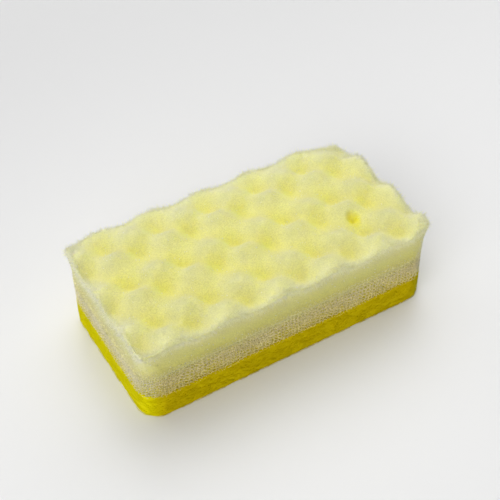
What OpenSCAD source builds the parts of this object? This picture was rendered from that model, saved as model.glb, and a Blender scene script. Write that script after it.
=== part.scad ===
// Cleaning sponge of three layers, bonded flat on one another: a scouring pad
// below, a coarse net foam between, and a soft foam whose upper face is cut in
// an egg-crate pattern of crests and hollows.

/* [Sponge] */
// Length of the sponge, from end to end
length = 115; // [90:1:150]
// Width of the sponge, from front to back
width = 60; // [45:1:90]
// Radius of the four upright corners of the pad and the net foam
corner_r = 8; // [4:0.5:15]

/* [Layers] */
// Thickness of the scouring pad
pad_h = 10; // [4:0.5:16]
// Thickness of the net foam
net_h = 10; // [4:0.5:20]
// Thickness of the soft foam, from its bonded face to its highest crests
foam_h = 15; // [12:0.5:30]

/* [Egg-crate face] */
// Distance between two neighbouring crests of one row
crest_pitch = 20.3; // [14:0.1:30]
// Distance from one row of crests and hollows to the next
row_pitch = 9.8; // [7:0.1:15]
// Drop from the crests to the hollows
crest_drop = 5.4; // [2:0.1:8]
// Distance from the left end to the first hollow of the front row
first_hollow = 3; // [0:0.1:20]
// Distance from the front side to the front row
first_row = 4.4; // [0:0.1:15]
// How far every second row is set towards the front
row_set = 1.8; // [0:0.1:3]
// Share of the drop that is lost at the cut sides
edge_calm = 0.4; // [0:0.05:0.6]
// Width of the band along the cut sides in which the waves calm down
edge_band = 5; // [1:0.5:10]

/* [Cut sides] */
// How far the sides of the soft foam draw in at half their height
waist = 0.8; // [0:0.1:2]
// How far its upper rim spreads past the outline of the pad
rim_flare = 0.1; // [0:0.1:2]
// Radius of its upright corners at the rim
rim_corner_r = 3.0; // [2.5:0.1:12]
// Rounding of the rim
rim_r = 0.6; // [0.4:0.1:2]

/* [Pit in the soft foam] */
// Diameter of the burst bubble
pit_d = 5; // [3:0.1:8]
// Depth of the bubble below the face
pit_depth = 2.3; // [1:0.1:4]
// Distance of the bubble from the right end
pit_from_end = 21.4; // [15:0.1:40]
// Distance of the bubble from the front side
pit_from_front = 18.5; // [15:0.1:30]

/* [Hidden] */

// Heights of the bonded faces and of the crests
net_z = pad_h;
foam_z = net_z + net_h;
crest_z = foam_z + foam_h;

// Facets of the soft foam: the size of a cell of its face, the steps round an
// upright corner, the steps up a side and the steps round the rim
cell = 2;
corner_steps = 5;
side_steps = 6;
rim_steps = 3;

cols = round((length - 2 * corner_r) / cell);
rows = 2 * corner_steps + round((width - 2 * corner_r) / cell);

pad_colour = [0.80, 0.71, 0.03];
net_colour = [0.82, 0.78, 0.66];
foam_colour = [0.90, 0.89, 0.62];

// Height of the egg-crate face before it calms down at the sides. Two crossed
// waves make crests and hollows in turn, along a row and from row to row. Every
// second row is set forward by a third, slow wave.
function wave(x, y) =
    let (along = 180 * (x + length / 2 - first_hollow) / (crest_pitch / 2),
         row = (y + width / 2 - first_row) / row_pitch,
         across = 180 * (row + row_set / row_pitch * (1 - cos(180 * row)) / 2))
    -cos(along) * cos(across);

// Height of the face at a point: the waves lose their share near the sides.
function face_z(x, y) =
    let (inboard = max(0, min(length / 2 - abs(x), width / 2 - abs(y))),
         calm = 1 - edge_calm * exp(-inboard / edge_band * 2))
    crest_z - crest_drop / 2 * (1 - calm * wave(x, y));

// A net of points over a rounded rectangle that is out wider than the sponge on
// every side. Its outer points lie on the outline, corner arcs included.
function net_point(i, j, out, r) =
    let (half_l = length / 2 + out,
         half_w = width / 2 + out,
         near = min(j, rows - j),
         turn = 90 * min(1, near / corner_steps),
         half_row = half_l - r * (1 - sin(turn)),
         inner = 2 * (half_w - r) * (j - corner_steps) / (rows - 2 * corner_steps),
         y = near < corner_steps
             ? sign(j - rows / 2) * (half_w - r * (1 - cos(turn)))
             : inner - (half_w - r))
    [half_row * (2 * i / cols - 1), y];

// Places in the net that lie on the outline, anticlockwise from the left front
outline = concat(
    [for (i = [0:cols - 1]) [i, 0]],
    [for (j = [0:rows - 1]) [cols, j]],
    [for (i = [cols:-1:1]) [i, rows]],
    [for (j = [rows:-1:1]) [0, j]]);
outline_n = len(outline);

// How far the side stands out at a share of its height, and its corner radius
function side_out(share) = rim_flare * pow(share, 3) - waist * sin(180 * share);
function side_corner(share) = corner_r + (rim_corner_r - corner_r) * share;

// One ring of points round the side of the soft foam. Its height is a share of
// the way from the bonded face to the start of the rim's rounding.
function side_ring(share) =
    [for (place = outline)
        let (p = net_point(place[0], place[1], side_out(share), side_corner(share)),
             rim_z = face_z(p[0], p[1]) - rim_r)
        [p[0], p[1], foam_z + share * (rim_z - foam_z)]];

// One ring of points round the rim's rounding, at an angle above the level
function rim_ring(angle) =
    [for (place = outline)
        let (p = net_point(place[0], place[1], rim_flare - rim_r * (1 - cos(angle)),
                           rim_corner_r - rim_r * (1 - cos(angle))))
        [p[0], p[1], face_z(p[0], p[1]) - rim_r * (1 - sin(angle))]];

module rounded_plate(h) {
    linear_extrude(h) {
        square([length - 2 * corner_r, width], center = true);
        square([length, width - 2 * corner_r], center = true);
        for (x = [-1, 1], y = [-1, 1])
            translate([x * (length / 2 - corner_r), y * (width / 2 - corner_r)])
                circle(corner_r, $fn = 64);
    }
}

module scouring_pad() {
    color(pad_colour)
        rounded_plate(pad_h);
}

module net_foam() {
    color(net_colour)
        translate([0, 0, net_z])
            rounded_plate(net_h);
}

module egg_crate_block() {
    rings = concat(
        [for (k = [0:side_steps]) side_ring(k / side_steps)],
        [for (k = [1:rim_steps - 1]) rim_ring(90 * k / rim_steps)]);
    face = [for (j = [0:rows], i = [0:cols])
        let (p = net_point(i, j, rim_flare - rim_r, rim_corner_r - rim_r))
        [p[0], p[1], face_z(p[0], p[1])]];
    first_side = len(face);
    ring_n = len(rings);

    function on_face(i, j) = j * (cols + 1) + i;
    function on_side(ring, k) =
        let (place = outline[k % outline_n])
        ring < ring_n
            ? first_side + ring * outline_n + k % outline_n
            : on_face(place[0], place[1]);

    // The bonded face is a fan of triangles about its middle.
    middle = first_side + ring_n * outline_n;

    points = concat(face, [for (ring = rings) each ring], [[0, 0, foam_z]]);
    faces = concat(
        [for (j = [0:rows - 1], i = [0:cols - 1]) each [
            [on_face(i, j), on_face(i, j + 1), on_face(i + 1, j + 1)],
            [on_face(i, j), on_face(i + 1, j + 1), on_face(i + 1, j)]]],
        [for (ring = [0:ring_n - 1], k = [0:outline_n - 1]) each [
            [on_side(ring, k), on_side(ring + 1, k), on_side(ring + 1, k + 1)],
            [on_side(ring, k), on_side(ring + 1, k + 1), on_side(ring, k + 1)]]],
        [for (k = [0:outline_n - 1]) [middle, on_side(0, k), on_side(0, k + 1)]]);
    polyhedron(points, faces);
}

module soft_foam() {
    pit_x = length / 2 - pit_from_end;
    pit_y = pit_from_front - width / 2;
    color(foam_colour)
        difference() {
            egg_crate_block();
            translate([pit_x, pit_y, face_z(pit_x, pit_y) - pit_depth + pit_d / 2])
                sphere(d = pit_d, $fn = 32);
        }
}

scouring_pad();
net_foam();
soft_foam();
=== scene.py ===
"""Cleaning sponge in three bonded layers: a yellow scouring pad, a coarse net
foam and a soft foam with an egg-crate face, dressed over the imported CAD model.

Lengths are in millimetres in the shape code and become metres in the meshes.
"""
import itertools
import logging
import math
from dataclasses import dataclass, field
from enum import Enum

import bpy
import numpy as np
from mathutils import Matrix, Vector


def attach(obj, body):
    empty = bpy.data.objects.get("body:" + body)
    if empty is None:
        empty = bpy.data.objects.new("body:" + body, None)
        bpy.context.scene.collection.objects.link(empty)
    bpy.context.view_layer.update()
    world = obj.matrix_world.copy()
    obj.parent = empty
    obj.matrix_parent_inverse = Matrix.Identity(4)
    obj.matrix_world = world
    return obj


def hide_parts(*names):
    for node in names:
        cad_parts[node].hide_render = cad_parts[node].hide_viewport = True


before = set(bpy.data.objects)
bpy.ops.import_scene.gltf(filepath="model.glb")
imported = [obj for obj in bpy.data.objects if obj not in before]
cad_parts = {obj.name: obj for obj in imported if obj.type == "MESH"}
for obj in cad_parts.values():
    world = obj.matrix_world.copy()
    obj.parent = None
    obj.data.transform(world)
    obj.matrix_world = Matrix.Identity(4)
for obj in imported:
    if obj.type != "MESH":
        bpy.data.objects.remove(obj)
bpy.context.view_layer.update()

MM = 0.001

# Points less than this from a bonded face, in mm, belong to it.
ON_FACE = 0.1
# A way is steep where z has this share of it.
STEEP = 0.8
# Keeps a length of nothing from dividing by zero.
TINY = 1e-12
# Values of the grain's noise that become its darkest and its palest.
GRAIN_RANGE = (0.3, 0.7)
WHITE = (1.0, 1.0, 1.0, 1.0)

Array = np.ndarray
Pair = tuple[float, float]
Triple = tuple[float, float, float]
Socket = bpy.types.NodeSocket
Value = Socket | float
Colour = Socket | Triple
log = logging.getLogger("sponge")


# Sizes and finishes

@dataclass(frozen=True)
class Sponge:
    """Sizes of the sponge in millimetres, as the part's source has them.

    The x axis runs along the length, y from the front side to the back, and z
    up from the scouring pad's lower face.
    """

    length: float = 115.0
    width: float = 60.0
    corner_r: float = 8.0
    pad_h: float = 10.0
    net_h: float = 10.0
    foam_h: float = 15.0
    crest_pitch: float = 20.3
    row_pitch: float = 9.8
    crest_drop: float = 5.4
    first_hollow: float = 3.0
    first_row: float = 4.4
    row_set: float = 1.8
    edge_calm: float = 0.4
    edge_band: float = 5.0
    waist: float = 0.8
    rim_flare: float = 0.1
    rim_r: float = 0.6
    pit_d: float = 5.0
    pit_depth: float = 2.3
    pit_from_end: float = 21.4
    pit_from_front: float = 18.5

    @property
    def foam_z(self) -> float:
        """Height of the soft foam's bonded face."""
        return self.pad_h + self.net_h

    @property
    def crest_z(self) -> float:
        """Height of the crests."""
        return self.foam_z + self.foam_h

    def wave(self, x: Array, y: Array) -> Array:
        """Two crossed waves that make crests and hollows in turn.

        wave = -cos(pi * along / half pitch) * cos(pi * row), with every second
        row set forward by a slow third wave.

        Args:
            x: Places along the length.
            y: Places across the width.

        Returns:
            The wave at each place, 1 on a crest and -1 in a hollow.
        """
        along = math.pi * (x + self.length / 2 - self.first_hollow) / (self.crest_pitch / 2)
        row = (y + self.width / 2 - self.first_row) / self.row_pitch
        across = math.pi * (row + self.row_set / self.row_pitch * (1 - np.cos(math.pi * row)) / 2)
        return -np.cos(along) * np.cos(across)

    def from_sides(self, x: Array, y: Array) -> Array:
        """Distance from each place to the nearest cut side, corners left out."""
        return np.minimum(self.length / 2 - np.abs(x), self.width / 2 - np.abs(y))

    def calm(self, x: Array, y: Array) -> Array:
        """Share of the waves that is left at each place, smaller at the cut sides."""
        inboard = np.maximum(self.from_sides(x, y), 0)
        return 1 - self.edge_calm * np.exp(-2 * inboard / self.edge_band)

    def face_z(self, x: Array, y: Array) -> Array:
        """Height of the egg-crate face, without the pit."""
        return self.crest_z - self.crest_drop / 2 * (1 - self.calm(x, y) * self.wave(x, y))

    def inside(self, points: Array) -> Array:
        """How deep each point lies inside the upright outline of the layers.

        Args:
            points: Places, shape (n, 3).

        Returns:
            The distance to the outline, negative outside it.
        """
        core = np.array([self.length, self.width]) / 2 - self.corner_r
        past = np.abs(points[:, :2]) - core
        outside = np.linalg.norm(np.maximum(past, 0), axis=1)
        return self.corner_r - outside - np.minimum(past.max(axis=1), 0)


@dataclass(frozen=True)
class Viewpoint:
    """Camera fitted to the photograph: degrees, millimetres and pixels."""

    azimuth: float = -30.366
    elevation: float = 44.201
    distance: float = 389.165
    target: Triple = (6.118, 9.762, 15.0)
    roll: float = -0.989
    focal_pixels: float = 1064.513
    picture_pixels: float = 500.0
    sensor_mm: float = 36.0
    clip: Pair = (10.0, 20000.0)


@dataclass(frozen=True)
class FoamFinish:
    """Colours and surface of the soft foam."""

    # Pale is the lit colour; full and fullest are its shaded copies, laid into the hollows, the pit
    # and down the sides: painted shade.
    pale: Triple = (0.835, 0.825, 0.42)
    full: Triple = (0.845, 0.79, 0.13)
    fullest: Triple = (0.88, 0.81, 0.02)
    # Near-white colour painted on sparkling walls, the rim and the fringe: painted highlight.
    glint: Triple = (0.97, 0.97, 0.94)
    low_tint: Triple = (0.98, 0.93, 1.03)
    low_mm: float = 5.0
    scatter_mm: Triple = (7.0, 6.5, 1.8)
    scatter: float = 1.0
    roughness: float = 0.9
    sheen: float = 0.35
    sheen_roughness: float = 0.5
    specular: float = 0.15
    grain_mm: float = 0.45
    grain: Pair = (0.90, 1.08)
    bump: float = 0.5
    bump_mm: float = 0.25


@dataclass(frozen=True)
class NetFinish:
    """Colours of the net foam's struts and of the painted shade between them, with painted light
    near the pad, at the ends and near the top.
    """

    strut: Triple = (0.85, 0.76, 0.44)
    # Struts next to the pad, yellower with painted light bounced from it.
    strut_pad_bounce: Triple = (0.85, 0.75, 0.30)
    # The core stands in for the deeper struts; its colour is their shade: painted shade.
    core: Triple = (0.70, 0.63, 0.12)
    # Core next to the pad: the pad showing through, and painted light bounced from it.
    core_showing_pad_and_bounce: Triple = (0.68, 0.58, 0.0)
    # Tint on the ends, which are lit differently from the long sides: painted light.
    painted_end_light: Triple = (0.93, 0.98, 1.25)
    # A paler band near the top: partly a blend to the soft foam's colour, partly painted light over
    # the shade under the soft foam.
    top: Triple = (0.85, 0.81, 0.38)
    top_blend_and_light_share: float = 0.75
    top_blend_and_light_mm: float = 3.5
    pad_bounce_mm: float = 6.5
    roughness: float = 0.6
    specular: float = 0.3
    grain_mm: float = 0.8
    grain: Pair = (0.80, 1.15)


@dataclass(frozen=True)
class PadFinish:
    """Colours of the scouring pad's mat and fibres, with painted light on its ends."""

    mat: Triple = (0.67, 0.53, 0.0)
    fibre: Triple = (0.685, 0.545, 0.0)
    # Tint on the ends, which are lit brighter than the long sides: painted light.
    painted_end_light: Triple = (1.10, 1.26, 1.0)
    roughness: float = 0.7
    specular: float = 0.03
    grain_mm: float = 0.5
    grain: Pair = (0.94, 1.03)
    bump: float = 0.2
    bump_mm: float = 0.2


class Slot(Enum):
    """Material slots of the record."""

    PAD = "scouring_pad"
    NET = "net_foam"
    FOAM = "soft_foam"


# Shape tools

class Noise:
    """Smooth random values on a cubic lattice, blended between its points."""

    SIDE = 32

    def __init__(self, seed: int, cell: float) -> None:
        """Args: seed of the table, and cell, the lattice's spacing in mm."""
        self.table = np.random.default_rng(seed).uniform(-1, 1, (self.SIDE,) * 3)
        self.cell = cell

    def __call__(self, points: Array) -> Array:
        """Noise from -1 to 1 at each point.

        Args:
            points: Places, shape (n, 3).

        Returns:
            One value a point: the eight lattice values round it, weighted by
            smooth steps along each axis.
        """
        scaled = points / self.cell
        base = np.floor(scaled).astype(int)
        step = scaled - base
        step = step * step * (3 - 2 * step)
        total = np.zeros(len(points))
        for corner in itertools.product((0, 1), repeat=3):
            weight = np.prod(np.where(corner, step, 1 - step), axis=1)
            index = (base + corner) % self.SIDE
            total += weight * self.table[index[:, 0], index[:, 1], index[:, 2]]
        return total


@dataclass
class Net:
    """Net of points over a rounded rectangle, whose outer points lie on its outline."""

    size: Sponge
    cell: float
    corner_steps: int
    cols: int = field(init=False)
    rows: int = field(init=False)

    def __post_init__(self) -> None:
        """Counts the columns and rows for the wanted cell."""
        size = self.size
        self.cols = round((size.length - 2 * size.corner_r) / self.cell)
        self.rows = 2 * self.corner_steps + round((size.width - 2 * size.corner_r) / self.cell)

    def grid(self, out: float, corner_r: float) -> tuple[Array, Array]:
        """Places of the net.

        Args:
            out: How far the outline stands out from the sponge's own.
            corner_r: Radius of its corners.

        Returns:
            x and y, each of shape (rows + 1, cols + 1).
        """
        j = np.arange(self.rows + 1)
        near = np.minimum(j, self.rows - j)
        turn = np.pi / 2 * np.minimum(1, near / self.corner_steps)
        side = np.sign(j - self.rows / 2)
        half_l, half_w = self.size.length / 2 + out, self.size.width / 2 + out
        inner = 2 * (j - self.corner_steps) / (self.rows - 2 * self.corner_steps) - 1
        row_y = np.where(near < self.corner_steps,
                         side * (half_w - corner_r * (1 - np.cos(turn))),
                         inner * (half_w - corner_r))
        row_x = half_l - corner_r * (1 - np.sin(turn))
        x = row_x[:, None] * np.linspace(-1, 1, self.cols + 1)[None, :]
        return x, np.repeat(row_y[:, None], self.cols + 1, axis=1)

    def border(self) -> Array:
        """Numbers of the net's outer points, anticlockwise from the left front.

        Returns:
            Their numbers, each once.
        """
        number = np.arange((self.rows + 1) * (self.cols + 1)).reshape(self.rows + 1, -1)
        return np.concatenate([number[0, :-1], number[:-1, -1],
                               number[-1, :0:-1], number[:0:-1, 0]])

    def ring(self, out: float, corner_r: float) -> tuple[Array, Array]:
        """x and y of the outline alone.

        Args:
            out: How far it stands out from the sponge's own.
            corner_r: Radius of its corners.

        Returns:
            x and y, one each for every outer point.
        """
        x, y = self.grid(out, corner_r)
        border = self.border()
        return x.ravel()[border], y.ravel()[border]

    def level(self, out: float, corner_r: float, z: float) -> Array:
        """Points of the net laid flat at one height, shape (n, 3)."""
        x, y = self.grid(out, corner_r)
        return np.stack([x.ravel(), y.ravel(), np.full(x.size, z)], axis=1)

    def level_ring(self, out: float, corner_r: float, z: float) -> Array:
        """Points of the outline alone at one height, shape (n, 3)."""
        return self.level(out, corner_r, z)[self.border()]

    def shell(self, top: Array, rings: Array, bottom: Array) -> "Surface":
        """Closed surface of a top face, rings down the sides and a bottom face.

        Args:
            top: Points of the top face, one for each of the net's places.
            rings: Points of the rings from the top down, shape (k, n, 3).
            bottom: Points of the bottom face, one for each of the net's places.

        Returns:
            The surface, with its normals outward.
        """
        count = len(top)
        number = np.arange(count).reshape(self.rows + 1, self.cols + 1)
        quads = np.stack([number[:-1, :-1], number[:-1, 1:], number[1:, 1:], number[1:, :-1]],
                         axis=-1).reshape(-1, 4)
        border = self.border()
        ring_n = len(border)
        first_bottom = count + len(rings) * ring_n
        rows = [border, *(count + k * ring_n + np.arange(ring_n) for k in range(len(rings))),
                first_bottom + border]
        sides = [np.stack([upper, lower, np.roll(lower, -1), np.roll(upper, -1)], axis=-1)
                 for upper, lower in itertools.pairwise(rows)]
        points = np.concatenate([top, rings.reshape(-1, 3), bottom])
        return Surface(points, [np.concatenate([quads, *sides, first_bottom + quads[:, ::-1]])])


@dataclass
class Surface:
    """Points in millimetres and faces as arrays of point numbers."""

    points: Array
    faces: list[Array]

    def mesh(self, name: str, smooth: bool = True, **values: Array) -> bpy.types.Mesh:
        """Makes a Blender mesh of the surface, in metres.

        Args:
            name: Its name.
            smooth: Whether its faces are shaded smooth.
            **values: Attributes, each with one number a point.

        Returns:
            The mesh.
        """
        mesh = bpy.data.meshes.new(name)
        mesh.vertices.add(len(self.points))
        mesh.vertices.foreach_set("co", (self.points * MM).astype(np.float32).ravel())
        sizes = np.concatenate([np.full(len(f), f.shape[1]) for f in self.faces])
        mesh.loops.add(int(sizes.sum()))
        numbers = np.concatenate([f.ravel() for f in self.faces])
        mesh.loops.foreach_set("vertex_index", numbers.astype(np.int32))
        mesh.polygons.add(len(sizes))
        mesh.polygons.foreach_set("loop_start", (np.cumsum(sizes) - sizes).astype(np.int32))
        mesh.polygons.foreach_set("use_smooth", np.full(len(sizes), smooth))
        mesh.update(calc_edges=True)
        for label, value in values.items():
            layer = mesh.attributes.new(label, "FLOAT", "POINT")
            layer.data.foreach_set("value", value.astype(np.float32))
        return mesh

    def normals(self) -> Array:
        """Outward normal at each point, as Blender works it out.

        Returns:
            The normals, shape (n, 3).
        """
        mesh = self.mesh("normals")
        normals = np.empty(len(self.points) * 3, np.float32)
        mesh.vertex_normals.foreach_get("vector", normals)
        bpy.data.meshes.remove(mesh)
        return normals.reshape(-1, 3).astype(float)


@dataclass
class Scatter:
    """Random places on the open faces of a surface."""

    surface: Surface
    rng: np.random.Generator

    def choose(self, wanted: list[tuple[int, Array]]) -> None:
        """Picks places with the same chance for every square millimetre.

        Args:
            wanted: Pairs of how many places, and for each point of the surface
                whether its faces take part. The places come in the same order.
        """
        quads = self.surface.faces[0]
        triangles = np.concatenate([quads[:, [0, 1, 2]], quads[:, [0, 2, 3]]])
        corner = self.surface.points[triangles]
        edges = corner[:, 1:] - corner[:, :1]
        area = np.linalg.norm(np.cross(edges[:, 0], edges[:, 1]), axis=1)
        chosen = []
        for count, is_open in wanted:
            chance = area * is_open[triangles].all(axis=1)
            chosen.append(self.rng.choice(len(triangles), count, p=chance / chance.sum()))
        self.chosen = triangles[np.concatenate(chosen)]
        share = np.sort(self.rng.random((len(self.chosen), 2)), axis=1)
        self.weight = np.stack([share[:, 0], share[:, 1] - share[:, 0], 1 - share[:, 1]], axis=1)

    def at(self, values: Array) -> Array:
        """The given numbers or vectors, one a point, at the chosen places."""
        weight = self.weight if values.ndim == 1 else self.weight[:, :, None]
        return (values[self.chosen] * weight).sum(axis=1)


def square_axis(way: Array) -> Array:
    """For each way, shape (n, 3), an axis well off it: z, or x where the way is steep."""
    steep = np.abs(way[:, 2:]) >= STEEP * np.linalg.norm(way, axis=1, keepdims=True)
    return np.where(steep, [1.0, 0.0, 0.0], [0.0, 0.0, 1.0])


def spikes(foot: Array, reach: Array, radius: Array) -> Surface:
    """Closed three-sided spikes.

    Args:
        foot: Middle of each foot, shape (n, 3).
        reach: Way from the foot to the tip, shape (n, 3).
        radius: Radius of each foot, shape (n,).

    Returns:
        One surface of all the spikes, four points each.
    """
    along = reach / np.linalg.norm(reach, axis=1, keepdims=True)
    across = np.cross(square_axis(along), along)
    across /= np.linalg.norm(across, axis=1, keepdims=True)
    up = np.cross(along, across)
    angle = 2 * np.pi * np.arange(3) / 3
    ring = foot[:, None] + radius[:, None, None] * (across[:, None] * np.cos(angle)[:, None]
                                                    + up[:, None] * np.sin(angle)[:, None])
    points = np.concatenate([ring, (foot + reach)[:, None]], axis=1).reshape(-1, 3)
    first = 4 * np.arange(len(foot))[:, None, None]
    corners = np.array([[0, 1, 3], [1, 2, 3], [2, 0, 3], [0, 2, 1]])
    return Surface(points, [(first + corners).reshape(-1, 3)])


def tubes(paths: Array, radius: Array, sides: int = 3) -> Surface:
    """Closed tubes along many paths of the same number of points.

    Args:
        paths: Points of the paths, shape (n, m, 3).
        radius: Radius of each tube, shape (n,).
        sides: Number of sides.

    Returns:
        One surface of all the tubes: a ring of points at each point of a path,
        set square to the path, with a face across each end.
    """
    count, steps = paths.shape[:2]
    along = np.gradient(paths, axis=1)
    along /= np.linalg.norm(along, axis=2, keepdims=True) + TINY
    axis = square_axis(along.mean(axis=1))[:, None, :]
    across = np.cross(np.broadcast_to(axis, along.shape), along)
    across /= np.linalg.norm(across, axis=2, keepdims=True) + TINY
    up = np.cross(along, across)
    angle = 2 * np.pi * np.arange(sides) / sides
    offset = (across[:, :, None, :] * np.cos(angle)[None, None, :, None]
              + up[:, :, None, :] * np.sin(angle)[None, None, :, None])
    points = paths[:, :, None, :] + offset * radius[:, None, None, None]
    number = np.arange(count * steps * sides).reshape(count, steps, sides)
    after = np.roll(number, -1, axis=2)
    walls = np.stack([number[:, :-1], after[:, :-1], after[:, 1:], number[:, 1:]], axis=-1)
    caps = np.concatenate([number[:, 0, ::-1], number[:, -1]])
    return Surface(points.reshape(-1, 3), [walls.reshape(-1, 4), caps])


# Materials

class Nodes:
    """Small helper that adds shader nodes to a tree and links them."""

    END_MM = 1.5

    def __init__(self, tree: bpy.types.NodeTree) -> None:
        """Args: tree, which is emptied first."""
        self.tree = tree
        tree.nodes.clear()

    def add(self, kind: str, inputs: dict | None = None, **settings) -> bpy.types.Node:
        """Adds a node.

        Args:
            kind: Its type, such as ShaderNodeMix.
            inputs: For each socket name or number, a value or a socket to link.
            **settings: Properties of the node.

        Returns:
            The node.
        """
        node = self.tree.nodes.new(kind)
        for name, value in settings.items():
            setattr(node, name, value)
        for name, value in (inputs or {}).items():
            if isinstance(value, Socket):
                self.tree.links.new(value, node.inputs[name])
            else:
                node.inputs[name].default_value = value
        return node

    def maths(self, operation: str, *values: Value) -> Socket:
        """Works out one value from others, each a socket or a number."""
        return self.add("ShaderNodeMath", dict(enumerate(values)), operation=operation).outputs[0]

    def ramp(self, value: Socket, low: float, high: float, to: Pair = (0.0, 1.0)) -> Socket:
        """Maps a value from low..high to another range, smoothly, and keeps it there."""
        node = self.add("ShaderNodeMapRange",
                        {"Value": value, "From Min": low, "From Max": high,
                         "To Min": to[0], "To Max": to[1]}, interpolation_type="SMOOTHSTEP")
        return node.outputs["Result"]

    def blend(self, factor: Value, first: Colour, second: Colour, mode: str = "MIX") -> Socket:
        """Mixes two colours, each a socket or an RGB tuple.

        Args:
            factor: Share of the second, a socket or a number.
            first: The first colour.
            second: The second colour.
            mode: How they mix, such as MULTIPLY.

        Returns:
            The mixed colour.
        """
        colours = [c if isinstance(c, Socket) else (*c, 1.0) for c in (first, second)]
        node = self.add("ShaderNodeMix", {0: factor, 6: colours[0], 7: colours[1]},
                        data_type="RGBA", blend_type=mode)
        return node.outputs[2]

    def scale(self, colour: Colour, value: Socket) -> Socket:
        """Multiplies a colour, a socket or an RGB tuple, by a value."""
        grey = self.add("ShaderNodeCombineColor", {0: value, 1: value, 2: value}).outputs[0]
        return self.blend(1.0, colour, grey, "MULTIPLY")

    def along(self, axis: str) -> Socket:
        """Place along the object's X, Y or Z axis, in metres."""
        place = self.add("ShaderNodeTexCoord").outputs["Object"]
        return self.add("ShaderNodeSeparateXYZ", {"Vector": place}).outputs[axis]

    def attribute(self, name: str) -> Socket:
        """A value that the mesh holds at its points."""
        return self.add("ShaderNodeAttribute", attribute_name=name).outputs["Fac"]

    def bump(self, height: Socket, strength: float, depth_mm: float) -> Socket:
        """Normal roughened by a height from 0 to 1."""
        return self.add("ShaderNodeBump", {"Strength": strength, "Distance": depth_mm * MM,
                                           "Height": height}).outputs["Normal"]

    def surface(self, sockets: dict) -> None:
        """Ends a material: a surface shader with the given sockets, and its output."""
        shader = self.add("ShaderNodeBsdfPrincipled", sockets)
        self.add("ShaderNodeOutputMaterial", {"Surface": shader.outputs["BSDF"]})

    def tint(self, colour: Colour, share: Socket, tint: Triple) -> Socket:
        """Multiplies a colour by a tint where the share is 1, and leaves it where it is 0."""
        return self.blend(1.0, colour, self.blend(share, (1, 1, 1), tint), "MULTIPLY")

    def paint_light_on_ends(self, colour: Colour, tint: Triple) -> Socket:
        """Multiplies a colour by a tint towards the two ends of the sponge: painted light, for the
        ends are lit differently from the long sides.

        Args:
            colour: The colour, a socket or an RGB tuple.
            tint: The tint, an RGB tuple.

        Returns:
            The tinted colour.
        """
        away = self.maths("ABSOLUTE", self.along("X"))
        end, corner_r = Sponge().length / 2, Sponge().corner_r
        share = self.ramp(away, (end - corner_r) * MM, (end - self.END_MM) * MM)
        return self.tint(colour, share, tint)


def new_material(name: str) -> tuple[bpy.types.Material, Nodes]:
    """Makes an empty node material.

    Args:
        name: Its name.

    Returns:
        The material, and the helper for its nodes.
    """
    material = bpy.data.materials.new(name)
    material.use_nodes = True
    return material, Nodes(material.node_tree)


def grain_group() -> bpy.types.NodeTree:
    """Shader node group shared by the three layers: fine grain in object space.

    Returns:
        The group, which gives a value from 0 to 1.
    """
    group = bpy.data.node_groups.new("grain", "ShaderNodeTree")
    nodes = Nodes(group)
    for name, way, kind in (("Place", "INPUT", "Vector"), ("Scale", "INPUT", "Float"),
                            ("Grain", "OUTPUT", "Float")):
        group.interface.new_socket(name, in_out=way, socket_type="NodeSocket" + kind)
    given = nodes.add("NodeGroupInput").outputs
    grain = nodes.add("ShaderNodeTexNoise", {"Vector": given["Place"], "Scale": given["Scale"],
                                             "Detail": 2.0, "Roughness": 0.6})
    nodes.add("NodeGroupOutput", {"Grain": grain.outputs["Fac"]})
    return group


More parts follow.
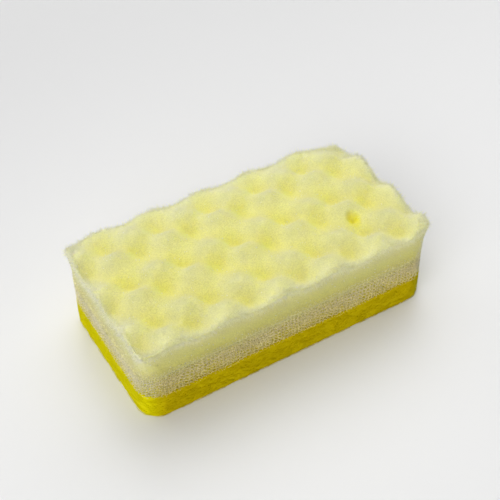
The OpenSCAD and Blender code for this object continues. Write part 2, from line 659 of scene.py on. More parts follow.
@dataclass
class Palette:
    """Makes the materials of the three layers."""

    foam: FoamFinish = field(default_factory=FoamFinish)
    net: NetFinish = field(default_factory=NetFinish)
    pad: PadFinish = field(default_factory=PadFinish)

    def __post_init__(self) -> None:
        """Makes the shared node group."""
        self.group = grain_group()

    def grain(self, nodes: Nodes, grain_mm: float) -> Socket:
        """Adds the shared group, with grain of about this size."""
        place = nodes.add("ShaderNodeTexCoord").outputs["Object"]
        return nodes.add("ShaderNodeGroup", {"Place": place, "Scale": 1 / (grain_mm * MM)},
                         node_tree=self.group).outputs["Grain"]

    def soft_foam(self) -> bpy.types.Material:
        """Pale yellow foam, fuller yellow in its hollows as painted shade, with painted light and
        painted highlights.

        Returns:
            The material.
        """
        finish = self.foam
        material, nodes = new_material("soft_foam")
        grain = self.grain(nodes, finish.grain_mm)
        # Painted shade: the deep values blend the lit pale colour to the fuller yellows of shade.
        deep = nodes.attribute("deep")
        colour = nodes.blend(deep, finish.pale, finish.full)
        colour = nodes.blend(nodes.maths("SUBTRACT", deep, 1.0), colour, finish.fullest)
        base = Sponge().foam_z * MM
        low = nodes.ramp(nodes.along("Z"), base, base + finish.low_mm * MM, (1.0, 0.0))
        colour = nodes.tint(colour, low, finish.low_tint)
        light = nodes.maths("MULTIPLY", nodes.ramp(grain, *GRAIN_RANGE, finish.grain),
                            nodes.attribute("lift"))
        colour = nodes.scale(colour, light)
        # Painted highlight: near-white blended in on the sparkles, the rim and the fringe.
        colour = nodes.blend(nodes.attribute("glint"), colour, finish.glint)
        nodes.surface({
            "Base Color": colour, "Roughness": finish.roughness,
            "Specular IOR Level": finish.specular, "Subsurface Weight": finish.scatter,
            "Subsurface Radius": finish.scatter_mm, "Subsurface Scale": MM,
            "Sheen Weight": finish.sheen, "Sheen Roughness": finish.sheen_roughness,
            "Normal": nodes.bump(grain, finish.bump, finish.bump_mm)})
        return material

    def net_foam(self, name: str, high: Triple, low: Triple) -> bpy.types.Material:
        """Net foam, yellower near its lower face with painted light bounced from the pad, with
        painted light at its ends, and a paler band near its top that partly blends to the soft
        foam's colour and is partly painted light over the shade under the soft foam.

        Args:
            name: The material's name.
            high: Its colour away from the pad.
            low: Its colour next to the pad, yellower with painted light bounced from the pad.

        Returns:
            The material.
        """
        finish, size = self.net, Sponge()
        material, nodes = new_material(name)
        height = nodes.along("Z")
        # Painted light bounced from the pad, fading upwards.
        up = nodes.ramp(height, size.pad_h * MM, (size.pad_h + finish.pad_bounce_mm) * MM)
        # Painted light on the ends.
        colour = nodes.paint_light_on_ends(nodes.blend(up, low, high), finish.painted_end_light)
        # Paler near the top: partly the soft foam's colour, partly painted light over the shade
        # under it.
        top_blend_and_light = nodes.ramp(height, (size.foam_z - finish.top_blend_and_light_mm) * MM, size.foam_z * MM,
                              (0.0, finish.top_blend_and_light_share))
        colour = nodes.blend(top_blend_and_light, colour, finish.top)
        grain = nodes.ramp(self.grain(nodes, finish.grain_mm), *GRAIN_RANGE, finish.grain)
        nodes.surface({"Base Color": nodes.scale(colour, grain), "Roughness": finish.roughness,
                       "Specular IOR Level": finish.specular})
        return material

    def scouring_pad(self, name: str, base: Triple) -> bpy.types.Material:
        """Bright yellow non-woven fibre.

        Args:
            name: The material's name.
            base: Its colour along the long sides.

        Returns:
            The material.
        """
        finish = self.pad
        material, nodes = new_material(name)
        grain = self.grain(nodes, finish.grain_mm)
        colour = nodes.scale(base, nodes.ramp(grain, *GRAIN_RANGE, finish.grain))
        nodes.surface({
            # Painted light on the ends.
            "Base Color": nodes.paint_light_on_ends(colour, finish.painted_end_light), "Roughness": finish.roughness,
            "Specular IOR Level": finish.specular,
            "Normal": nodes.bump(grain, finish.bump, finish.bump_mm)})
        return material


# Pieces

def add_object(name: str, data: bpy.types.ID) -> bpy.types.Object:
    """Puts a mesh, a lamp or a camera in the scene.

    Args:
        name: The object's name.
        data: What it shows.

    Returns:
        The object.
    """
    item = bpy.data.objects.new(name, data)
    bpy.context.scene.collection.objects.link(item)
    return item


def place_pieces(meshes: list[bpy.types.Mesh], material: bpy.types.Material,
                 node: Slot) -> list[bpy.types.Object]:
    """Puts finished meshes in the scene as pieces of one layer of the sponge.

    Args:
        meshes: The pieces' meshes, in metres in the row frame.
        material: Their material.
        node: The CAD node that they stand for, which has a slot of the same name.

    Returns:
        The pieces.
    """
    pieces = []
    for mesh in meshes:
        mesh.materials.append(material)
        piece = add_object(mesh.name, mesh)
        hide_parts(node.value)
        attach(piece, "root")
        log.info("%s: %d triangles", piece.name, len(mesh.loops) - 2 * len(mesh.polygons))
        pieces.append(piece)
    return pieces


# Layers

@dataclass(frozen=True)
class PaintedShadeYellow:
    """How full the soft foam's painted shade yellow is, in its hollows, its pit and down its sides:
    shares, and lengths in mm.
    """

    crest: float = 0.19
    hollow: float = 0.71
    power: float = 1.15
    shift: Pair = (-2.1, -0.4)
    lean: Pair = (0.09, 0.10)
    fall: Triple = (0.06, 0.27, 0.04)
    pit: float = 1.2
    rim: float = 0.05
    low: float = 0.85
    low_on_end: float = -0.35
    low_power: float = 0.6


@dataclass(frozen=True)
class Glow:
    """Light that the soft foam passes on inside: shares, and lengths in mm."""

    hollow: float = 0.184
    hollow_shift: float = -3.55
    front: float = 0.056
    slope: float = 0.048
    slope_shift: float = -0.9
    level: float = 1.015
    fall: Triple = (0.035, 0.03, -0.032)
    pit: float = 0.07
    pit_lean: Pair = (-0.108, 0.144)
    side: Pair = (0.89, -0.12)
    under_rim: Pair = (0.97, -0.07)
    under_rim_mm: float = 3.0
    backlit: float = 0.10
    backlit_mm: float = 4.0


@dataclass(frozen=True)
class Nap:
    """Cut cell walls that stand out of the soft foam, and a longer fringe at its rim."""

    walls: int = 34000
    length: Pair = (0.25, 0.65)
    radius: float = 0.07
    spread: Pair = (0.7, 1.3)
    lean: float = 0.5
    root: float = 0.05
    # The walls carry less of the painted shade yellow than the block.
    paler: float = 0.15
    # Share of the walls that are thicker near-white sparkles: painted highlight.
    glints: float = 0.02
    fringe: int = 7000
    fringe_band: float = 1.8
    fringe_length: float = 3.6
    # The fringe is painted paler and brighter than the block: painted light.
    fringe_painted_light: float = 0.2
    fringe_lift: float = 1.25


@dataclass
class SoftFoam:
    """The soft foam: egg-crate face, drawn-in sides, soft rim and the burst bubble."""

    size: Sponge
    palette: Palette
    cell: float = 0.42
    corner_steps: int = 20
    side_steps: int = 30
    rim_steps: int = 4
    tip_moves: tuple[Pair, ...] = ((-0.9, 0.9), (-1.5, 1.3), (-1.6, -2.9), (-0.9, 0.0))
    tip_reach: float = 8.0
    tip_r: float = 1.5
    tuck: float = 0.3
    tuck_mm: float = 1.5
    base_inset: float = 0.3
    pit_blend: float = 0.4
    swell: Pair = (0.12, 3.1)
    grain: float = 0.07
    grain_cells: Pair = (0.8, 0.42)
    bonded_mm: float = 1.5
    rim_band: float = 8.0
    # Near-white painted along the rim, front and back, and how far it reaches down and in: painted
    # highlight.
    rim_painted_light: Pair = (0.08, 0.25)
    rim_painted_light_mm: Pair = (1.8, 2.0)
    painted_shade_yellow: PaintedShadeYellow = PaintedShadeYellow()
    glow: Glow = Glow()
    nap: Nap = Nap()
    noise_seed: int = 1
    seed: int = 5

    @property
    def pit_place(self) -> Pair:
        """Middle of the burst bubble."""
        size = self.size
        return size.length / 2 - size.pit_from_end, size.pit_from_front - size.width / 2

    def from_pit(self, x: Array, y: Array) -> Array:
        """Distance from the burst bubble's middle, in radii of the bubble."""
        pit_x, pit_y = self.pit_place
        return np.hypot(x - pit_x, y - pit_y) / (self.size.pit_d / 2)

    def face(self, x: Array, y: Array) -> Array:
        """Height of the face with the pit, a bowl whose rim blends into the face.

        bowl = middle of the face there - depth * (1 - (distance / radius)^2), and
        the lower of face and bowl is taken, rounded over pit_blend.

        Args:
            x: Places along the length.
            y: Places across the width.

        Returns:
            The height at each place.
        """
        z = self.size.face_z(x, y)
        middle = self.size.face_z(*self.pit_place)
        bowl = middle - self.size.pit_depth * (1 - self.from_pit(x, y) ** 2)
        share = np.clip(0.5 + (z - bowl) / (2 * self.pit_blend), 0, 1)
        return z + (bowl - z) * share - self.pit_blend * share * (1 - share)

    def surface(self) -> Surface:
        """The smooth block: its face, the rounding of its rim, its sides and its base.

        Returns:
            The closed block, still without its rough surface.
        """
        size, net = self.size, Net(self.size, self.cell, self.corner_steps)
        x, y = net.grid(size.rim_flare - size.rim_r, self.tip_r - size.rim_r)
        top = np.stack([x.ravel(), y.ravel(), self.face(x, y).ravel()], axis=1)
        rings = []
        for angle in np.linspace(np.pi / 2, 0, self.rim_steps + 1)[1:-1]:
            drawn = size.rim_r * (1 - math.cos(angle))
            ring = net.level_ring(size.rim_flare - drawn, self.tip_r - drawn, 0)
            ring[:, 2] = size.face_z(*ring.T[:2]) - size.rim_r * (1 - math.sin(angle))
            rings.append(ring)
        for share in np.linspace(1, 0, self.side_steps + 1):
            out = size.rim_flare * share ** 3 - size.waist * math.sin(math.pi * share)
            out -= self.tuck * math.exp(-share * size.foam_h / self.tuck_mm)
            ring = net.level_ring(out, size.corner_r + (self.tip_r - size.corner_r) * share, 0)
            rim_z = size.face_z(*ring.T[:2]) - size.rim_r
            ring[:, 2] = size.foam_z + share * (rim_z - size.foam_z)
            rings.append(ring)
        base = net.level(-self.base_inset - self.tuck, size.corner_r, size.foam_z)
        return net.shell(top, np.array(rings), base)

    def tips(self, points: Array) -> Array:
        """Small moves of the rim's four corners, from the front left anticlockwise.

        Each goes outwards and up by its own pair of lengths. It is a bell round
        its corner, exp(-(distance / reach)^2), and fades down the side with the
        cube of the height.

        Args:
            points: Places, shape (n, 3).

        Returns:
            The move of each place.
        """
        size = self.size
        high = (1 - self.lowness(points[:, 2])) ** 3
        moves = np.zeros_like(points)
        for side, (pull, rise) in zip(((-1, -1), (1, -1), (1, 1), (-1, 1)), self.tip_moves):
            corner = np.multiply(side, (size.length / 2, size.width / 2))
            away = np.linalg.norm(points[:, :2] - corner, axis=1)
            bell = np.exp(-(away / self.tip_reach) ** 2) * high
            moves += bell[:, None] * [*np.multiply(side, pull / math.sqrt(2)), rise]
        return moves

    def deep(self, points: Array) -> Array:
        """How full the yellow is, from 0 on the crests to 1 in the hollows.

        Light from the back comes through the crests and the hollows lie in shade, so this fuller
        yellow is painted shade, and its fullest place lies a
        little behind each hollow: crest + hollow * ((1 - shifted wave) / 2)^power,
        and two leaning waves. The face is paler towards the cut sides, whose painted
        shade yellow grows downwards.

        Args:
            points: Places, shape (n, 3).

        Returns:
            One value a place.
        """
        size, full = self.size, self.painted_shade_yellow
        x, y, z = points.T
        calm, front_y = size.calm(x, y), y - size.row_pitch / 2
        wave = size.wave(x - full.shift[0], y - full.shift[1]) * calm
        lean = (full.lean[0] * size.wave(x, front_y)
                + full.lean[1] * size.wave(x - size.crest_pitch / 4, front_y))
        face = full.crest + full.hollow * ((1 - wave) / 2) ** full.power + lean * calm
        face += full.pit * self.near_pit(x, y) - self.fall(x, y, full.fall)
        low = full.low + full.low_on_end * self.on_end(x)
        side = full.rim + low * self.lowness(z) ** full.low_power
        return side + (face - side) * self.inboard(x, y)

    def lift(self, points: Array) -> Array:
        """Factor on the colour for the light that the foam passes on inside.

        It brightens the hollows and the slopes that get less light from outside:
        exp(-hollow * shifted wave - front * wave shifted by half a row - slope *
        (wave^2 - wave shifted by a quarter pitch^2)), with a slow change across
        the face. In the pit it evens out the lit and the shaded wall. The sides
        get less, but for a band below the rim.

        Args:
            points: Places, shape (n, 3).

        Returns:
            One factor a place.
        """
        size, glow = self.size, self.glow
        x, y, z = points.T
        slope_x = x - glow.slope_shift
        waves = (glow.hollow * size.wave(x - glow.hollow_shift, y)
                 + glow.front * size.wave(x, y - size.row_pitch / 2)
                 + glow.slope * (size.wave(slope_x, y) ** 2
                                 - size.wave(slope_x + size.crest_pitch / 4, y) ** 2))
        face = np.exp(-waves * size.calm(x, y)) * (glow.level - self.fall(x, y, glow.fall))
        from_pit = np.array([x, y]) - np.reshape(self.pit_place, (2, 1))
        lean = np.tensordot(glow.pit_lean, from_pit, 1) / (size.pit_d / 2)
        face *= 1 + (glow.pit + lean) * self.near_pit(x, y)
        on_end = self.on_end(x)
        side = glow.side[0] + glow.side[1] * on_end
        under_rim = glow.under_rim[0] + glow.under_rim[1] * on_end
        below = (size.face_z(x, y) - z) / glow.under_rim_mm
        side += (under_rim - side) * np.exp(-below ** 2)
        light = side + (face - side) * self.inboard(x, y)
        return light * (1 + glow.backlit * self.backlit(x, y))

    def fall(self, x: Array, y: Array, shares: Triple) -> Array:
        """Slow change across the face: shares of along^2, across^2 and across, each up to 1."""
        along, across = 2 * x / self.size.length, 2 * y / self.size.width
        return shares[0] * along ** 2 + shares[1] * across ** 2 + shares[2] * across

    def backlit(self, x: Array, y: Array) -> Array:
        """Share up to 1 along the right end and the back, which light comes through."""
        past = np.maximum(x - self.size.length / 2, y - self.size.width / 2)
        return np.clip(1 + past / self.glow.backlit_mm, 0, 1)

    def near_pit(self, x: Array, y: Array) -> Array:
        """Bell-shaped share round the burst bubble, 1 at its middle."""
        return np.exp(-self.from_pit(x, y) ** 4)

    def on_end(self, x: Array) -> Array:
        """Share from 0 along the sponge to 1 at its two ends."""
        size = self.size
        return np.clip((np.abs(x) - size.length / 2) / size.corner_r + 1, 0, 1)

    def lowness(self, z: Array) -> Array:
        """Share of the way down the sides, from 0 near the rim to 1 at the bonded face."""
        rim_z = self.size.crest_z - self.size.crest_drop / 2
        return np.clip((rim_z - z) / (rim_z - self.size.foam_z), 0, 1)

    def inboard(self, x: Array, y: Array) -> Array:
        """Smooth step from 0 on the sides to 1 on the face inside its rim."""
        share = np.clip(self.size.from_sides(x, y) / self.rim_band, 0, 1)
        return share * share * (3 - 2 * share)

    def below(self, points: Array) -> Array:
        """How far each place lies below the face."""
        return self.size.face_z(points[:, 0], points[:, 1]) - points[:, 2]

    def white(self, points: Array) -> Array:
        """Share of painted highlight in the rim, where its cells catch light and light from behind
        comes through: a bell below it and inside it.

        Args:
            points: Places, shape (n, 3).

        Returns:
            One share a place, larger along the back and the right end, which light comes through.
        """
        size, (down_mm, in_mm) = self.size, self.rim_painted_light_mm
        front, back = self.rim_painted_light
        inner = np.maximum(size.inside(points) - size.rim_r, 0)
        share = front + (back - front) * self.backlit(points[:, 0], points[:, 1])
        return share * np.exp(-(self.below(points) / down_mm) ** 2 - (inner / in_mm) ** 2)

    def nap_mesh(self, block: Surface, bare: Array, normals: Array,
                 shades: dict[str, Array]) -> bpy.types.Mesh:
        """The nap and the fringe, as spikes on the open faces of the block.

        Args:
            block: The rough block.
            bare: Its points before they were moved.
            normals: Its outward normals.
            shades: Its values of deep and lift.

        Returns:
            Their mesh.
        """
        nap, rng = self.nap, np.random.default_rng(self.seed)
        scatter = Scatter(block, rng)
        is_open = bare[:, 2] > self.size.foam_z + ON_FACE
        on_rim = is_open & (self.size.inside(bare) < nap.fringe_band)
        on_rim &= self.below(bare) < nap.fringe_band
        scatter.choose([(nap.walls, is_open), (nap.fringe, on_rim)])
        foot = scatter.at(block.points)
        way = scatter.at(normals) + rng.normal(0, nap.lean, foot.shape)
        way /= np.linalg.norm(way, axis=1, keepdims=True)
        count = len(foot)
        in_fringe = np.arange(count) >= nap.walls
        # Some walls become thicker near-white sparkles, painted highlight; the fringe is painted
        # paler and brighter, painted light.
        glint = ((rng.random(count) < nap.glints) & ~in_fringe).astype(float)
        long = rng.uniform(*nap.length, count) * np.where(in_fringe, nap.fringe_length, 1)
        radius = nap.radius * rng.uniform(*nap.spread, count) * (1 + glint)
        deep = scatter.at(shades["deep"]) - nap.paler
        lift = scatter.at(shades["lift"]) * np.where(in_fringe, nap.fringe_lift, 1)
        glint += nap.fringe_painted_light * in_fringe
        deep, lift, glint = (np.repeat(value, 4) for value in (deep, lift, glint))
        stood = spikes(foot - nap.root * way, way * long[:, None], radius)
        return stood.mesh("soft_foam_walls", smooth=False, deep=deep, lift=lift, glint=glint)

    def build(self) -> list[bpy.types.Object]:
        """Makes the block, roughened by noise, and the cut cell walls that stand out of it.

        Returns:
            The two pieces.
        """
        smooth = self.surface()
        bare, normals = smooth.points, smooth.normals()
        free = np.clip((bare[:, 2] - self.size.foam_z) / self.bonded_mm, 0, 1)
        swell, swell_cell = self.swell
        push = swell * Noise(self.noise_seed, swell_cell)(bare)
        for seed, cell in enumerate(self.grain_cells, self.noise_seed + 1):
            push += self.grain * Noise(seed, cell)(bare)
        points = bare + self.tips(bare) + normals * (push * free)[:, None]
        block = Surface(points, smooth.faces)
        shades = {"deep": self.deep(bare), "lift": self.lift(bare)}
        material = self.palette.soft_foam()
        # The block carries the rim's painted highlight.
        meshes = [block.mesh("soft_foam_block", **shades, glint=self.white(bare)),
                  self.nap_mesh(block, bare, normals, shades)]
        return place_pieces(meshes, material, Slot.FOAM)


@dataclass
class NetFoam:
    """The net foam: open struts round a core, a solid that stands in for the deeper struts and is
    coloured as their shade, painted shade.
    """

    size: Sponge
    palette: Palette
    cell: float = 1.42
    depth: float = 1.2
    strut_r: float = 0.10
    strut_spread: Pair = (0.85, 1.15)
    reach_down: float = 0.9
    reach_up: float = 2.0
    bend: float = 0.9
    bend_cell: float = 4.5
    jitter: float = 0.10
    spare: Triple = (2.0, 2.0, 3.0)
    beyond: float = 0.6
    halvings: int = 12
    shortest: float = 0.04
    core_cell: float = 1.0
    core_steps: int = 6
    core_rings: int = 12
    core_swell: Pair = (0.35, 0.9)
    parts: int = 3
    core_seed: int = 21
    width_seed: int = 20
    seed: int = 11

    def knots(self) -> tuple[Array, Array]:
        """Knots and struts of packed cells with eight six-sided and six square windows.

        On a lattice of quarter cells a knot has one odd coordinate, one that is
        0 and one that is 2 after division by 4. Knots one step apart along
        exactly two axes are joined by a strut.

        Returns:
            Places of the knots in mm, and the pairs of joined knots.
        """
        size, unit = self.size, self.cell / 4
        room = np.array([size.length, size.width, size.net_h]) / 2 + self.spare
        reach = np.ceil(room / unit).astype(int)
        axes = [np.arange(-r, r + 1) for r in reach]
        grid = np.stack(np.meshgrid(*axes, indexing="ij"), axis=-1).reshape(-1, 3)
        rest = grid % 4
        is_knot = (((rest % 2).sum(axis=1) == 1) & ((rest == 0).sum(axis=1) == 1)
                   & ((rest == 2).sum(axis=1) == 1))
        grid = grid[is_knot]
        points = grid * unit + [0, 0, size.pad_h + size.net_h / 2]
        inside = size.inside(points)
        near = (inside > -self.cell) & (inside < self.depth + self.beyond * self.cell)
        grid, points = grid[near], points[near]
        shape = 2 * reach + 3
        number = np.full(shape, -1)
        at = grid + reach + 1
        number[at[:, 0], at[:, 1], at[:, 2]] = np.arange(len(grid))
        pairs = []
        for step in ((1, 1, 0), (1, -1, 0), (1, 0, 1), (1, 0, -1), (0, 1, 1), (0, 1, -1)):
            to = at + step
            other = number[to[:, 0], to[:, 1], to[:, 2]]
            first = np.flatnonzero(other >= 0)
            pairs.append(np.stack([first, other[first]], axis=1))
        return points, np.concatenate(pairs)

    def room(self, points: Array) -> Array:
        """How deep points lie inside the layer, its faces included.

        Args:
            points: Places, shape (n, 3).

        Returns:
            The depth, negative outside the layer.
        """
        size = self.size
        over = np.minimum(points[:, 2] - size.pad_h + self.reach_down,
                          size.foam_z + self.reach_up - points[:, 2])
        return np.minimum(self.size.inside(points), over) - self.strut_r

    def struts(self) -> Array:
        """Struts near the open sides, cut off where they leave the layer.

        The knots are first moved by smooth and by random lengths. Each strut then
        starts at its inner end, and repeated halving finds where it leaves.

        Returns:
            The two ends of each strut, shape (n, 2, 3).
        """
        points, pairs = self.knots()
        rng = np.random.default_rng(self.seed)
        bend = np.stack([Noise(self.seed + k, self.bend_cell * self.cell)(points)
                         for k in range(3)], axis=1)
        points = points + self.bend * self.cell * bend
        points += rng.normal(0, self.jitter * self.cell, points.shape)
        ends = points[pairs]
        room = [self.room(ends[:, 0]), self.room(ends[:, 1])]
        turned = room[0] < room[1]
        ends[turned] = ends[turned][:, ::-1]
        inner, outer = np.maximum(*room), np.minimum(*room)
        middle = ends.mean(axis=1)
        kept = (inner > 0) & (self.size.inside(middle) < self.depth)
        ends, outer = ends[kept], outer[kept]
        low, high = np.zeros(len(ends)), np.ones(len(ends))
        for _ in range(self.halvings):
            half = (low + high) / 2
            free = self.room(ends[:, 0] + (ends[:, 1] - ends[:, 0]) * half[:, None]) > 0
            low, high = np.where(free, half, low), np.where(free, high, half)
        share = np.where(outer > 0, 1.0, low)
        ends[:, 1] = ends[:, 0] + (ends[:, 1] - ends[:, 0]) * share[:, None]
        return ends[np.linalg.norm(ends[:, 1] - ends[:, 0], axis=1) > self.shortest]

    def build(self) -> list[bpy.types.Object]:
        """Makes the struts, in parts of few enough triangles, and the core.

        Returns:
            The pieces.
        """
        finish = self.palette.net
        ends = self.struts()
        rng = np.random.default_rng(self.width_seed)
        radius = rng.uniform(*self.strut_spread, len(ends)) * self.strut_r
        parts = np.array_split(np.argsort(ends[:, 0, 0]), self.parts)
        struts = [tubes(ends[part], radius[part]).mesh(f"net_foam_struts_{number}", smooth=False)
                  for number, part in enumerate(parts, 1)]
        on_struts = self.palette.net_foam("net_struts", finish.strut, finish.strut_pad_bounce)
        # The core's material: painted shade.
        on_core = self.palette.net_foam("net_core_painted_shade", finish.core, finish.core_showing_pad_and_bounce)
        return (place_pieces(struts, on_struts, Slot.NET)
                + place_pieces([self.core().mesh("net_foam_core")], on_core, Slot.NET))

    def core(self) -> Surface:
        """The inside of the net foam, seen between the struts and coloured as painted shade, rough
        on its sides.

        Returns:
            The closed core.
        """
        size, net = self.size, Net(self.size, self.core_cell, self.core_steps)
        low, high = size.pad_h, size.foam_z
        outline = -self.depth, size.corner_r - self.depth
        rings = [net.level_ring(*outline, z) for z in np.linspace(high, low, self.core_rings)[1:-1]]
        core = net.shell(net.level(*outline, high), np.array(rings), net.level(*outline, low))
        swell, cell = self.core_swell
        z = core.points[:, 2]
        free = (z > low + ON_FACE) & (z < high - ON_FACE)
        push = swell * Noise(self.core_seed, cell)(core.points) * free
        return Surface(core.points + core.normals() * push[:, None], core.faces)


@dataclass
class ScouringPad:
    """The scouring pad: a felted mat with loose fibres on its open faces."""

    size: Sponge
    palette: Palette
    cell: float = 0.72
    corner_steps: int = 14
    side_steps: int = 16
    edge_steps: int = 3
    inset: float = 0.15
    top_inset: float = 0.4
    rough: Pair = (0.04, 0.7)
    swell: Pair = (0.06, 4.0)
    edge_r: float = 0.5
    side_cell: float = 0.5
    side_corner_steps: int = 18
    side_fibres: int = 3800
    base_fibres: int = 2600
    fibre_r: float = 0.05
    fibre_steps: int = 5
    fibre_length: Pair = (1.2, 4.5)
    fibre_rise: Pair = (0.06, 0.17)
    fibre_sink: float = 0.06
    slant: float = 0.55
    bend: float = 0.9
    side_rise: float = 0.8
    side_margin: float = 0.2
    side_clear: Pair = (0.12, 0.06)
    base_rise: float = 0.3
    base_margin: float = 3.5
    base_z: float = 0.10
    base_clear: float = 0.065
    edge_clear: float = 0.3
    floor_clear: float = 0.02
    noise_seed: int = 41
    seed: int = 31

    def mat(self) -> Surface:
        """The mat as a closed block with slightly rounded lower edges and a rough surface.

        Returns:
            The mat.
        """
        size, net = self.size, Net(self.size, self.cell, self.corner_steps)
        rings = [net.level_ring(-self.inset, size.corner_r, z)
                 for z in np.linspace(size.pad_h, self.edge_r, self.side_steps)]
        for angle in np.linspace(0, np.pi / 2, self.edge_steps + 1)[1:-1]:
            drawn = self.edge_r * (1 - math.cos(angle)) + self.inset
            height = self.edge_r * (1 - math.sin(angle))
            rings.append(net.level_ring(-drawn, size.corner_r - drawn, height))
        drawn = self.edge_r + self.inset
        mat = net.shell(net.level(-self.top_inset, size.corner_r - self.top_inset, size.pad_h),
                        np.array(rings), net.level(-drawn, size.corner_r - drawn, 0.0))
        push = sum(depth * Noise(seed, cell)(mat.points)
                   for seed, (depth, cell) in enumerate((self.rough, self.swell),
                                                        self.noise_seed))
        push *= mat.points[:, 2] < size.pad_h - ON_FACE
        points = mat.points + mat.normals() * push[:, None]
        points[:, 2] = np.maximum(points[:, 2], self.floor_clear)
        return Surface(points, mat.faces)

    def fibres(self) -> Surface:
        """Short bent fibres that lie on the sides and the lower face.

        Each runs along the face in a slow bend and rises from it in one arc:
        height = rise * sin(pi * share) - sink.

        Returns:
            All the fibres, as tubes.
        """
        rng, count = np.random.default_rng(self.seed), self.side_fibres + self.base_fibres
        side, base = slice(0, self.side_fibres), slice(self.side_fibres, None)
        share = np.linspace(0, 1, self.fibre_steps)[None, :]
        length = rng.uniform(*self.fibre_length, count)[:, None]
        heading = rng.normal(0, self.slant, count)[:, None]
        heading += np.where(rng.random(count) < 0.5, 0, np.pi)[:, None]
        heading[base] = rng.uniform(0, 2 * np.pi, self.base_fibres)[:, None]
        turn = heading + rng.normal(0, self.bend, count)[:, None] * (share - 0.5)
        step = length / (self.fibre_steps - 1)
        along = np.cumsum(np.cos(turn) * step, axis=1)
        across = np.cumsum(np.sin(turn) * step, axis=1)
        rise = rng.uniform(*self.fibre_rise, count)[:, None]
        height = rise * np.sin(np.pi * share) - self.fibre_sink
        paths = np.concatenate([self.side_paths(rng, along[side], across[side], height[side]),
                                self.base_paths(rng, along[base], across[base], height[base])])
        return tubes(paths, np.full(len(paths), self.fibre_r))

    def side_paths(self, rng: np.random.Generator, along: Array, up: Array,
                   height: Array) -> Array:
        """Lays fibres round the sides, at random starts.

        Args:
            rng: Source of the starts.
            along: Way of each fibre's points round the outline.
            up: Their way up the side.
            height: Their height over the side.

        Returns:
            The points, shape (n, m, 3).
        """
        size, count = self.size, (len(along), 1)
        x, y = Net(size, self.side_cell, self.side_corner_steps).ring(0, size.corner_r)
        next_x, next_y = np.roll(x, -1) - np.roll(x, 1), np.roll(y, -1) - np.roll(y, 1)
        scale = np.hypot(next_x, next_y)
        table = [np.append(v, v[0]) for v in (x, y, next_y / scale, -next_x / scale)]
        run = np.concatenate([[0], np.cumsum(np.hypot(np.diff(table[0]), np.diff(table[1])))])
        at = (rng.uniform(0, run[-1], count) + along) % run[-1]
        start = rng.uniform(self.side_margin, size.pad_h - self.side_margin, count)
        z = np.clip(start + up, self.side_clear[0], size.pad_h - self.side_clear[1])
        x, y, out_x, out_y = (np.interp(at, run, v) for v in table)
        out = self.side_rise * height
        return np.stack([x + out_x * out, y + out_y * out, z], axis=-1)

    def base_paths(self, rng: np.random.Generator, along: Array, across: Array,
                   height: Array) -> Array:
        """Lays fibres on the lower face, at random starts.

        Args:
            rng: Source of the starts.
            along: Way of each fibre's points along the length.
            across: Their way across the width.
            height: Their height over the face.

        Returns:
            The points, shape (n, m, 3), of the fibres that lie within the outline.
        """
        size, margin, count = self.size, self.base_margin, (len(along), 1)
        x = rng.uniform(-0.5, 0.5, count) * (size.length - 2 * margin) + along
        y = rng.uniform(-0.5, 0.5, count) * (size.width - 2 * margin) + across
        z = np.maximum(self.base_z - self.base_rise * height, self.base_clear)
        paths = np.stack([x, y, z], axis=-1)
        inside = size.inside(paths.reshape(-1, 3)).reshape(len(paths), -1)
        return paths[inside.min(axis=1) > self.edge_clear]

    def build(self) -> list[bpy.types.Object]:
        """Makes the mat and its fibres.

        Returns:
            The two pieces.
        """
        palette = self.palette
        return (place_pieces([self.mat().mesh("scouring_pad_mat")],
                             palette.scouring_pad("pad_mat", palette.pad.mat), Slot.PAD)
                + place_pieces([self.fibres().mesh("scouring_pad_fibres")],
                               palette.scouring_pad("pad_fibres", palette.pad.fibre), Slot.PAD))


# Stage

def towards(azimuth: float, elevation: float) -> Vector:
    """Unit vector from the sponge towards a place given by two angles in degrees.

    Args:
        azimuth: Turn about z, anticlockwise from the front.
        elevation: Height over the floor.

    Returns:
        The vector.
    """
    azimuth, elevation = math.radians(azimuth), math.radians(elevation)
    return Vector((math.sin(azimuth) * math.cos(elevation),
                   -math.cos(azimuth) * math.cos(elevation), math.sin(elevation)))


@dataclass(frozen=True)
class Softbox:
    """A wide, even source far off: degrees, and watts a square metre."""

    name: str
    azimuth: float
    elevation: float
    strength: float


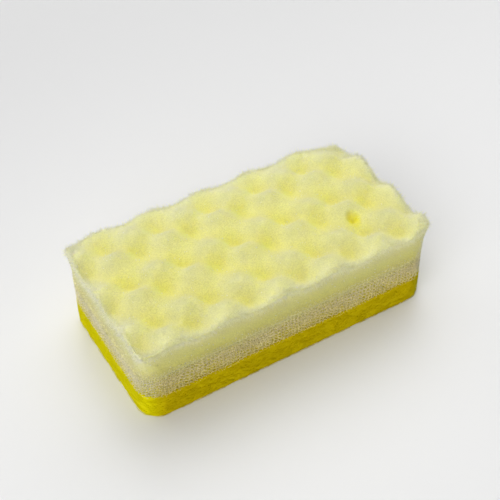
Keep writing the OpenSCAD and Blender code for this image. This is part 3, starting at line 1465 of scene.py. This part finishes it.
@dataclass
class Studio:
    """Floor, lamps, world and camera."""

    viewpoint: Viewpoint
    floor_near: Triple = (0.80, 0.80, 0.80)
    # Darker far behind: painted shade.
    floor_far: Triple = (0.685, 0.685, 0.685)
    floor_reach: float = 230.0
    shown_sky: float = 0.76
    floor_half: float = 3.0
    floor_roughness: float = 0.45
    floor_specular: float = 0.5
    spread: float = 52.0
    softboxes: tuple[Softbox, ...] = (
        Softbox("overhead", 0.0, 90.0, 0.35),
        Softbox("back_right", 135.0, 50.0, 1.03),
        Softbox("back", 180.0, 50.0, 0.56),
        Softbox("back_left", 225.0, 50.0, 0.34),
        Softbox("front_left", 303.0, 50.0, 1.06),
        Softbox("front_left_low", 303.0, 20.0, 1.27),
    )

    def build(self) -> None:
        """Makes them all."""
        self.make_floor()
        self.make_world()
        for softbox in self.softboxes:
            self.make_softbox(softbox)
        self.make_camera()

    def make_floor(self) -> None:
        """A wide pale floor, a little darker far behind the sponge as painted shade, which isn't
        part of it.
        """
        half, mesh = self.floor_half, bpy.data.meshes.new("floor")
        mesh.from_pydata([(-half, -half, 0), (half, -half, 0), (half, half, 0), (-half, half, 0)],
                         [], [(0, 1, 2, 3)])
        floor = add_object("floor", mesh)
        material, nodes = new_material("floor")
        far = nodes.ramp(nodes.along("Y"), 0.0, self.floor_reach * MM)
        nodes.surface({
            "Base Color": nodes.blend(far, self.floor_near, self.floor_far),
            "Roughness": self.floor_roughness, "Specular IOR Level": self.floor_specular})
        mesh.materials.append(material)

    def make_world(self) -> None:
        """An even pale sky, seen as white by the camera."""
        world = bpy.data.worlds.new("studio")
        bpy.context.scene.world = world
        world.use_nodes = True
        nodes = Nodes(world.node_tree)
        ray = nodes.add("ShaderNodeLightPath").outputs
        seen = nodes.maths("MAXIMUM", ray["Is Camera Ray"], ray["Is Glossy Ray"])
        seen = nodes.maths("MAXIMUM", seen, ray["Is Transmission Ray"])
        light, shown = (nodes.add("ShaderNodeBackground", {"Color": WHITE, "Strength": strength})
                        for strength in (0.0, self.shown_sky))
        mixed = nodes.add("ShaderNodeMixShader",
                          {0: seen, 1: light.outputs[0], 2: shown.outputs[0]})
        nodes.add("ShaderNodeOutputWorld", {"Surface": mixed.outputs[0]})

    def make_softbox(self, softbox: Softbox) -> None:
        """One wide source, turned towards the sponge.

        Args:
            softbox: Its name, place and strength.
        """
        data = bpy.data.lights.new(softbox.name, "SUN")
        data.angle, data.energy = math.radians(self.spread), softbox.strength
        away = towards(softbox.azimuth, softbox.elevation)
        add_object(softbox.name, data).rotation_euler = away.to_track_quat("Z", "Y").to_euler()

    def make_camera(self) -> None:
        """The camera at the photograph's place, turned by its small roll."""
        view = self.viewpoint
        roll, back = math.radians(view.roll), towards(view.azimuth, view.elevation)
        right = Vector((0, 0, 1)).cross(back).normalized()
        up = back.cross(right)
        right, up = (right * math.cos(roll) + up * math.sin(roll),
                     up * math.cos(roll) - right * math.sin(roll))
        data = bpy.data.cameras.new("camera")
        data.sensor_width = view.sensor_mm
        data.lens = view.focal_pixels / view.picture_pixels * view.sensor_mm
        data.clip_start, data.clip_end = (limit * MM for limit in view.clip)
        camera = add_object("camera", data)
        turned = Matrix((right, up, back)).transposed().to_4x4()
        place = (Vector(view.target) + back * view.distance) * MM
        camera.matrix_world = Matrix.Translation(place) @ turned
        bpy.context.scene.camera = camera


def main() -> None:
    """Builds the sponge and its studio."""
    logging.basicConfig(level=logging.INFO, format="%(message)s")
    size, palette = Sponge(), Palette()
    bpy.context.scene.view_settings.view_transform = "Standard"
    SoftFoam(size, palette).build()
    NetFoam(size, palette).build()
    ScouringPad(size, palette).build()
    Studio(Viewpoint()).build()


if __name__ == "__main__":
    main()
